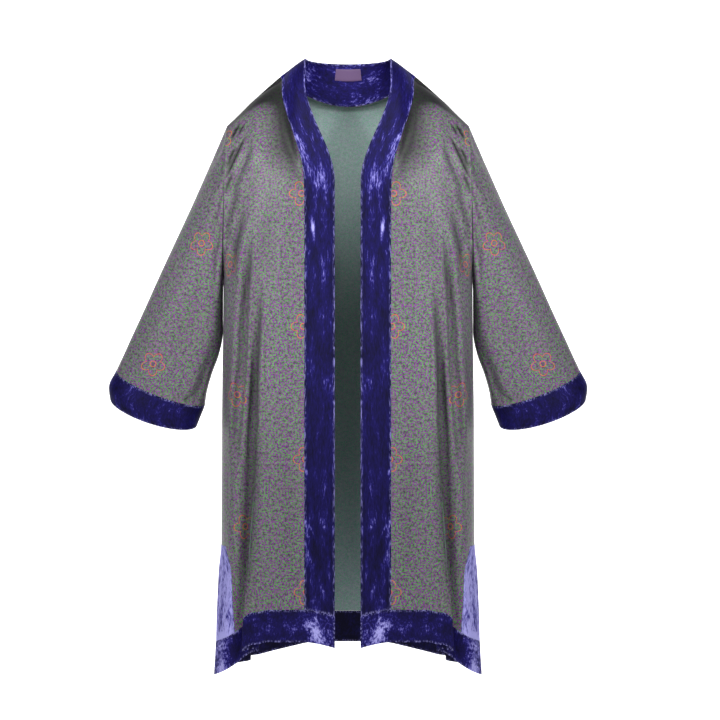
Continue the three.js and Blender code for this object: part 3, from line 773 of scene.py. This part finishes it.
def add_node(material, kind, inputs=(), out=0, stops=(), **settings):
    """Adds a node and gives one of its outputs. inputs are numbers, colours or other nodes' outputs, in
    order or by name, settings are the node's own, and stops are a ramp's positions and colours."""
    node = material.node_tree.nodes.new("ShaderNode" + kind)
    for key, value in settings.items():
        setattr(node, key, value)
    for place, value in inputs.items() if isinstance(inputs, dict) else enumerate(inputs):
        if isinstance(value, bpy.types.NodeSocket):
            link(material, value, node.inputs[place])
        else:
            node.inputs[place].default_value = hex_colour(value) if isinstance(value, str) else value
    if stops:
        elements = node.color_ramp.elements
        while len(elements) < len(stops):
            elements.new(0.5)
        for element, (position, colour) in zip(elements, stops):
            element.position = position
            element.color = hex_colour(colour) if isinstance(colour, str) else (colour, colour, colour, 1)
    return node.outputs[out]


MIX_FACTOR, MIX_A, MIX_B = 0, 6, 7  # where a mix node takes its factor and its two colours
OF_COLOURS = {"data_type": "RGBA", "out": 2}  # and what makes it mix and give colours


def new_material(name, **settings):
    """A material with its shader. settings are the shader's inputs, with _ for a space."""
    material = bpy.data.materials.new(name)
    material.use_nodes = True
    shader = material.node_tree.nodes["Principled BSDF"]
    for key, value in settings.items():
        value = hex_colour(value) if isinstance(value, str) else value
        shader.inputs[key.replace("_", " ")].default_value = value
    return material, shader


# Sizes of the print, in metres of cloth.
PRINT_PERIOD = 0.0052  # from one printed line to the next of the same colour
PRINT_CELL = 0.0100  # patch over which the lines keep one direction
PRINT_SWELL = 0.38  # how far patches lean to one colour
MOTIF_ACROSS, MOTIF_DOWN = 0.17, 0.26  # repeat of the outline flowers
MOTIF_SIZE, MOTIF_LINE = 0.024, 0.0008
PETAL_TURNS, PETAL_SWELL, HEART = 2.5, 0.42, 0.24  # half the petals, and shares of the flower's size


def flower_mask(material, uv):
    """Thin outlines of a generic five-petal flower with a round heart, in a half-drop repeat."""
    node = partial(add_node, material)
    split = node("SeparateXYZ", (uv,)).node
    across = node("Math", (split.outputs[0], MOTIF_ACROSS), operation="DIVIDE")
    column = node("Math", (across,), operation="FLOOR")
    odd = node("Math", (column, 2.0), operation="FLOORED_MODULO")
    drop = node("Math", (odd, 0.5), operation="MULTIPLY")
    level = node("Math", (split.outputs[1], MOTIF_DOWN), operation="DIVIDE")
    down = node("Math", (level, drop), operation="ADD")
    from_middle = []
    for place, repeat in ((across, MOTIF_ACROSS), (down, MOTIF_DOWN)):
        share = node("Math", (place,), operation="FRACT")
        off = node("Math", (share, 0.5), operation="SUBTRACT")
        from_middle.append(node("Math", (off, repeat), operation="MULTIPLY"))
    x, y = from_middle
    squares = [node("Math", (v, v), operation="MULTIPLY") for v in (x, y)]
    radius = node("Math", (node("Math", squares, operation="ADD"),), operation="SQRT")
    angle = node("Math", (y, x), operation="ARCTAN2")
    turned = node("Math", (angle, PETAL_TURNS), operation="MULTIPLY")
    petal = node("Math", (node("Math", (turned,), operation="COSINE"),), operation="ABSOLUTE")
    swelling = node("Math", (petal, PETAL_SWELL), operation="MULTIPLY")
    reach = node("Math", (swelling, 1 - PETAL_SWELL), operation="ADD")
    edge = node("Math", (reach, MOTIF_SIZE), operation="MULTIPLY")
    outlines = []
    for ring in (edge, MOTIF_SIZE * HEART):
        off = node("Math", (radius, ring), operation="SUBTRACT")
        near = node("Math", (off,), operation="ABSOLUTE")
        outlines.append(node("Math", (near, MOTIF_LINE), operation="LESS_THAN"))
    return node("Math", outlines, operation="MAXIMUM")


def silk_material(name, ground, green, purple, outline, strength, motif, painted_crinkle_shade):
    """Printed silk satin: the eye reads grey from afar, fine green and purple lines that wander like a
    maze close up, and a soft gloss."""
    material, shader = new_material(name, Roughness=0.46, Specular_IOR_Level=0.28)
    node = partial(add_node, material)
    uv = node("UVMap", uv_map="UVMap")
    maze = node("TexGabor", {"Vector": uv, "Scale": 1 / PRINT_CELL, "Anisotropy": 0.0,
                             "Frequency": PRINT_CELL / PRINT_PERIOD}, out="Value")
    # Small patches lean to the green or to the purple, where one colour's lines swell over the other's.
    swell = node("TexNoise", {"Vector": uv, "Scale": 95.0, "Detail": 3.0}, out="Fac")
    from_middle = node("Math", (swell, 0.5), operation="SUBTRACT")
    leaning = node("Math", (from_middle, PRINT_SWELL), operation="MULTIPLY")
    stops = [(0.0, purple), (0.42, purple), (0.48, ground), (0.53, ground), (0.59, green), (1.0, green)]
    lines = node("ValToRGB", (node("Math", (maze, leaning), operation="ADD"),), stops=stops)
    patches = node("TexNoise", {"Vector": uv, "Scale": 11.0, "Detail": 2.0}, out="Fac")
    amount = node("ValToRGB", (patches,), stops=[(0.3, 0.75 * strength), (0.6, strength)])
    colour = node("Mix", {MIX_FACTOR: amount, MIX_A: ground, MIX_B: lines}, **OF_COLOURS)
    # Painted shade in fine grains, standing in for the light and shade of the thin cloth's crinkle, which
    # is finer than any fold.
    crinkle = node("TexNoise", {"Vector": uv, "Scale": 170.0, "Detail": 3.0, "Roughness": 0.7}, out="Fac")
    painted_crinkle_grains = node("ValToRGB", (crinkle,), stops=[(0.35, 1.0), (0.5, 0.35), (0.65, 0.0)])
    painted_dark = node("Math", (painted_crinkle_grains, painted_crinkle_shade), operation="MULTIPLY")
    colour = node("Mix", {MIX_FACTOR: painted_dark, MIX_A: colour, MIX_B: "#101410"}, **OF_COLOURS)
    drawn = node("Math", (flower_mask(material, uv), motif), operation="MULTIPLY")
    colour = node("Mix", {MIX_FACTOR: drawn, MIX_A: colour, MIX_B: outline}, **OF_COLOURS)
    # Painted shade: in a crease the colour is darkened towards near black, standing in for the shade where
    # the satin sees only more of itself.
    painted_crease_shade = node("Attribute", attribute_name=PAINTED_SHADE_MARK, out="Fac")
    deep = node("Math", (painted_crease_shade, 1.4), operation="POWER")
    shade = node("Math", (deep, 0.9), operation="MULTIPLY")
    colour = node("Mix", {MIX_FACTOR: shade, MIX_A: colour, MIX_B: "#0a0e0a"}, **OF_COLOURS)
    link(material, colour, shader.inputs["Base Color"])
    # The fine weave breaks up the satin's gloss a little.
    weave = node("TexNoise", {"Vector": uv, "Scale": 700.0, "Detail": 1.0}, out="Fac")
    bump = node("Bump", {"Strength": 0.12, "Distance": 0.0002, "Height": weave})
    link(material, bump, shader.inputs["Normal"])
    return material


EDGE_SHEEN_LINE = 0.005  # how wide the painted sheen line along a velvet edge is
BROAD_SHARE, FINE_SHARE = 0.45, 0.55  # of the pile's pattern
PILE_AND_SHEEN_COLOURS = [(0.36, "#040222"), (0.5, "#0d083f"), (0.58, "#130d51"), (0.625, "#252070"),
                (0.67, "#5a55a2"), (0.76, "#a3a0df")]  # from standing pile to pile that lies over; the light lavender end is painted sheen


def velvet_material(name, stretch, seed, lying_sheen, bright):
    """Crushed velvet: near-black indigo where the pile stands, with streaks and flecks of light lavender,
    painted sheen, where it lies over. Its lying share is how much of it lies over besides the listed
    places."""
    material, shader = new_material(name, Roughness=0.6, Specular_IOR_Level=0.12, Sheen_Weight=bright,
                                    Sheen_Roughness=0.3, Sheen_Tint="#8a86e0")
    node = partial(add_node, material)
    uv = node("UVMap", uv_map="UVMap")
    place = node("Mapping", {"Vector": uv, "Scale": stretch, "Location": (seed, seed * 0.7, 0)})
    broad = node("TexNoise", {"Vector": place, "Scale": 55.0, "Detail": 2.0, "Distortion": 0.2}, out="Fac")
    fine = node("TexNoise", {"Vector": place, "Scale": 330.0, "Detail": 4.0, "Roughness": 0.65,
                             "Distortion": 0.4}, out="Fac")
    shares = [node("Math", part, operation="MULTIPLY")
              for part in ((broad, BROAD_SHARE), (fine, FINE_SHARE))]
    pile = node("Math", shares, operation="ADD")
    # Painted sheen: the listed places and the noise move the pile towards the ramp's light lavender.
    brushed_sheen_amount = node("Attribute", attribute_name=BRUSHED_SHEEN_MARK, out="Fac")
    brushed_sheen_share = node("Math", (brushed_sheen_amount, 0.19), operation="MULTIPLY")
    over = node("Math", (brushed_sheen_share, lying_sheen * 0.2), operation="ADD")
    colour = node("ValToRGB", (node("Math", (pile, over), operation="ADD"),), stops=PILE_AND_SHEEN_COLOURS)
    # The pile opens where the velvet is folded over at an edge; the thin pale line of flecks painted there
    # is painted sheen of the turned edge.
    edge = node("Attribute", attribute_name=EDGE_MARK, out="Fac")
    from_edge = node("Math", (edge, EDGE_SHEEN_LINE), operation="DIVIDE")
    near = node("ValToRGB", (from_edge,), stops=[(0.0, 1.0), (0.3, 0.7), (1.0, 0.0)])
    flecks = node("ValToRGB", (fine,), stops=[(0.48, 0.0), (0.62, 0.7)])
    pale = node("Math", (near, flecks), operation="MULTIPLY")
    colour = node("Mix", {MIX_FACTOR: pale, MIX_A: colour, MIX_B: "#a19ee4"}, **OF_COLOURS)
    link(material, colour, shader.inputs["Base Color"])
    bump = node("Bump", {"Strength": 0.5, "Distance": 0.002, "Height": pile})
    link(material, bump, shader.inputs["Normal"])
    return material


def woven_material(name, colour):
    """Woven label: a plain matt purple with the faint ribs of its weave."""
    material, shader = new_material(name, Base_Color=colour, Roughness=0.55)
    node = partial(add_node, material)
    uv = node("UVMap", uv_map="UVMap")
    ribs = node("TexWave", {"Vector": uv, "Scale": 300.0}, bands_direction="Y", out="Fac")
    bump = node("Bump", {"Strength": 0.3, "Distance": 0.0003, "Height": ribs})
    link(material, bump, shader.inputs["Normal"])
    return material


silk_face = silk_material("printed silk satin", "#7a6f77", "#5b9f55", "#823695", "#d9622a",
                          strength=1.0, motif=0.75, painted_crinkle_shade=0.75)
silk_wrong = silk_material("printed silk satin, wrong side", "#92a19f", "#5fa284", "#848a98", "#ab7f62",
                           strength=0.7, motif=0.45, painted_crinkle_shade=0.2)
velvet_down, velvet_round, velvet_hem, velvet_slit_painted_sheen, velvet_neck, velvet_inside_painted_shade = (
    velvet_material(f"crushed velvet, {name}", stretch, seed, lying_sheen, bright)
    for name, stretch, seed, lying_sheen, bright in (
        ("pile down the band", (1.0, 0.22, 1), 0.0, 0.04, 0.12),
        ("pile round the cuff", (0.7, 0.4, 1), 3.1, 0.1, 0.12),
        ("pile across the hem", (0.8, 0.5, 1), 5.7, 0.1, 0.12),
        # the slit bands' pile is made paler here, painted sheen of bands that turn to the side
        ("pile along the slit", (1.0, 0.25, 1), 8.3, 1.1, 0.7),
        ("pile along the neckband", (0.7, 0.4, 1), 4.4, 0.26, 0.08),
        # a near-black copy, painted shade for the inside of the back hem, which lies in shadow
        ("its inside in painted shade", (0.8, 0.5, 1), 2.2, -0.6, 0.02),
    ))
woven_purple = woven_material("woven label", "#51395f")


# ---- The pieces ----
LABEL_ROWS = (0.4, 0.12)  # the label's foot and top, as shares of the neckband from its free edge
LABEL_REACH = 0.185  # how far it reaches each way from the centre back, as a share of the neck seam


def rows_at(row):
    return int(round(row * ROW_STEPS))


BAND_COL = BAND_STEPS
STRIP_COL = BAND_COL + SILK_STEPS
FRONT_COLS = STRIP_COL + SLIT_STEPS
BACK_COLS = back.shape[1] - 1
SLIT_AT, HEM_AT, LAST_AT = rows_at(SLIT_ROW), rows_at(HEM_ROW), rows_at(LAST_ROW)
CUFF_AT = CUFF_RING * RINGS


def silk_block(name, points, painted_crease_shade, cols, outward, notches):
    """The printed silk of a sheet, down to the hem band, with notches for the slit bands."""
    area = np.s_[:HEM_AT + 1, cols[0]:cols[1] + 1]
    uv, silk = laid_flat(points, (ROW_STEPS, FLAT_COLS))[area], points[area]
    piece = cloth(f"{name}_cloth", silk, uv, outward, SILK_WALL, [silk_face, silk_wrong], name,
                  marks={PAINTED_SHADE_MARK: painted_crease_shade[area]}, notches=notches, notch_row=SLIT_AT)


def velvet_block(name, points, rows, cols, outward, materials):
    """A trim between two rows and two columns of a sheet."""
    trim = points[rows[0]:rows[1] + 1, cols[0]:cols[1] + 1]
    marks = {EDGE_MARK: from_edges(trim, False), BRUSHED_SHEEN_MARK: brushed_sheen(trim)}
    piece = cloth(f"{name}_cloth", trim, flat_uv(trim), outward, VELVET_WALL, materials, name,
                  rim=VELVET_RIM, marks=marks)


def add_front(side, points, outward):
    silk = f"front_{side}"
    silk_block(silk, points, front_painted_shade, (BAND_COL, FRONT_COLS), outward,
               [(SILK_STEPS, FRONT_COLS - BAND_COL)])
    for name, rows, cols, material, hangs_from in (
        ("front_band", (0, HEM_AT), (0, BAND_COL), velvet_down, "neckband_back"),
        ("front_hem", (HEM_AT, LAST_AT), (0, FRONT_COLS), velvet_hem, silk),
        ("front_slit_band", (SLIT_AT, HEM_AT), (STRIP_COL, FRONT_COLS), velvet_slit_painted_sheen, silk),
    ):
        velvet_block(f"{name}_{side}", points, rows, cols, outward, [material])


def add_back(points):
    inner = BACK_COLS - SLIT_STEPS
    silk_block("back", points, back_painted_shade, (0, BACK_COLS), -1, [(0, SLIT_STEPS), (inner, BACK_COLS)])
    for name, rows, cols, materials in (
        # the back hem's inside takes the near-black copy, painted shade
        ("back_hem", (HEM_AT, LAST_AT), (0, BACK_COLS), [velvet_hem, velvet_inside_painted_shade]),
        ("back_slit_band_right", (SLIT_AT, HEM_AT), (0, SLIT_STEPS), [velvet_slit_painted_sheen]),
        ("back_slit_band_left", (SLIT_AT, HEM_AT), (inner, BACK_COLS), [velvet_slit_painted_sheen]),
    ):
        velvet_block(name, points, rows, cols, -1, materials)


def add_sleeve(side, points, outward):
    uv = unrolled(points)
    silk, cuff = f"sleeve_{side}", f"cuff_{side}"
    marks = {PAINTED_SHADE_MARK: sleeve_painted_shade[:CUFF_AT + 1]}, {EDGE_MARK: from_edges(points[CUFF_AT:], True)}
    for name, rows, wall, materials, rim, hangs_from, marked in (
        (silk, np.s_[:CUFF_AT + 1], SILK_WALL, [silk_face, silk_wrong], 0.0, "back", marks[0]),
        (cuff, np.s_[CUFF_AT:], CUFF_WALL, [velvet_round], VELVET_RIM, silk, marks[1]),
    ):
        piece = cloth(f"{name}_cloth", points[rows], uv[rows], outward, wall, materials, name,
                      closed=True, rim=rim, marks=marked)


def add_neckband(points):
    uv = flat_uv(points)[..., ::-1]
    piece = cloth("neckband_back_cloth", points, uv, 1, VELVET_WALL, [velvet_neck], "neckband_back",
                  rim=VELVET_RIM, marks={EDGE_MARK: from_edges(points, False)})


def add_label():
    """The label lies on the inside of the neckband, on its centre."""
    shares, rows = np.linspace(0, LABEL_REACH, 9), np.linspace(*LABEL_ROWS, 7)
    points = np.array([whole_width(neckband_row(share, shares)) for share in rows])
    lift = VELVET_WALL / 2 + LABEL_LIFT + LABEL_WALL / 2
    laid = points - normals_of(points, 1) * lift
    piece = cloth("neck_label_cloth", laid, flat_uv(laid), 1, LABEL_WALL, [woven_purple], "neck_label",
                  rim=LABEL_RIM)


add_front("left", front, 1)
add_front("right", mirrored(front), -1)
add_back(back)
add_sleeve("left", sleeve, -1)
add_sleeve("right", mirrored(sleeve), 1)
add_neckband(neckband)
add_label()


# ---- Floor, light and camera ----
CAMERA = {"x": 0.024, "y": -5.0, "z": -0.55, "lens": 125, "sensor": 36}
FLOOR_Z = -1.7
SWEEP_Y, SWEEP_RADIUS = 5.6, 1.2


def add_backdrop():
    """A pale floor that sweeps up into a wall behind."""
    bpy.ops.object.select_all(action="DESELECT")
    steps = 24
    bpy.ops.mesh.primitive_grid_add(x_subdivisions=1, y_subdivisions=steps + 2, size=2)
    sheet = bpy.context.object
    sheet.name = "backdrop"
    profile = [(-8.0, FLOOR_Z)]
    profile += [(SWEEP_Y + SWEEP_RADIUS * math.sin(a), FLOOR_Z + SWEEP_RADIUS * (1 - math.cos(a)))
                for a in np.linspace(0, math.pi / 2, steps + 1)]
    profile += [(SWEEP_Y + SWEEP_RADIUS, 6.0)]
    for i, vertex in enumerate(sheet.data.vertices):
        y, z = profile[i // 2]
        vertex.co = (-9 if i % 2 == 0 else 9, y, z)
    # The paper is lit from behind, so that it stays white where the soft lights fall off.
    paper, shader = new_material("white studio paper", Base_Color="#f4f4f4", Roughness=0.9,
                                 Emission_Color="#ffffff")
    place = add_node(paper, "TexCoord", out="Object")
    depth = add_node(paper, "SeparateXYZ", (place,), out="Y")
    span = {"From Min": 1.0, "From Max": 4.0, "To Min": 0.45, "To Max": 1.0}
    glow = add_node(paper, "MapRange", {"Value": depth, **span}, out="Result")
    link(paper, glow, shader.inputs["Emission Strength"])
    sheet.data.materials.append(paper)
    bpy.ops.object.shade_smooth()


def add_lamp(name, kind, place, aim, power, **settings):
    data = bpy.data.lights.new(name, kind)
    data.energy = power
    for key, value in settings.items():
        setattr(data, key, value)
    light = bpy.data.objects.new(name, data)
    bpy.context.collection.objects.link(light)
    light.location = place
    towards = Vector(aim) - Vector(place)
    light.rotation_euler = towards.to_track_quat("-Z", "Y").to_euler()


def add_light(name, place, aim, size, power):
    add_lamp(name, "AREA", place, aim, power, shape="SQUARE", size=size)


def add_spot(name, place, aim, angle, power):
    add_lamp(name, "SPOT", place, aim, power, spot_size=math.radians(angle), spot_blend=1.0,
             shadow_soft_size=0.15)


def add_world():
    world = bpy.data.worlds.new("studio")
    bpy.context.scene.world = world
    world.use_nodes = True
    background = world.node_tree.nodes["Background"].inputs
    background["Color"].default_value = (1, 1, 1, 1)
    background["Strength"].default_value = 0.13
    bpy.context.scene.view_settings.view_transform = "Standard"


def add_camera():
    data = bpy.data.cameras.new("camera")
    data.lens, data.sensor_width, data.clip_end = CAMERA["lens"], CAMERA["sensor"], 50
    camera = bpy.data.objects.new("camera", data)
    bpy.context.collection.objects.link(camera)
    camera.location = (CAMERA["x"], CAMERA["y"], CAMERA["z"])
    camera.rotation_euler = (math.pi / 2, 0, 0)
    bpy.context.scene.camera = camera


add_backdrop()
add_world()
add_light("key left", (-2.1, -3.0, 1.1), (0, 0, -0.3), 0.9, 61)
add_light("key right", (2.1, -3.0, 1.1), (0, 0, -0.3), 0.9, 61)
add_spot("chest left", (-2.0, -3.0, 0.8), (-0.1, 0, -0.32), 17, 180)
add_spot("chest right", (2.0, -3.0, 0.8), (0.1, 0, -0.32), 17, 180)
add_light("top", (0, -1.6, 2.5), (0, 0, -0.2), 0.8, 8)
add_spot("neck", (0, -2.9, 1.9), (0, 0.1, -0.05), 7.5, 560)
add_camera()
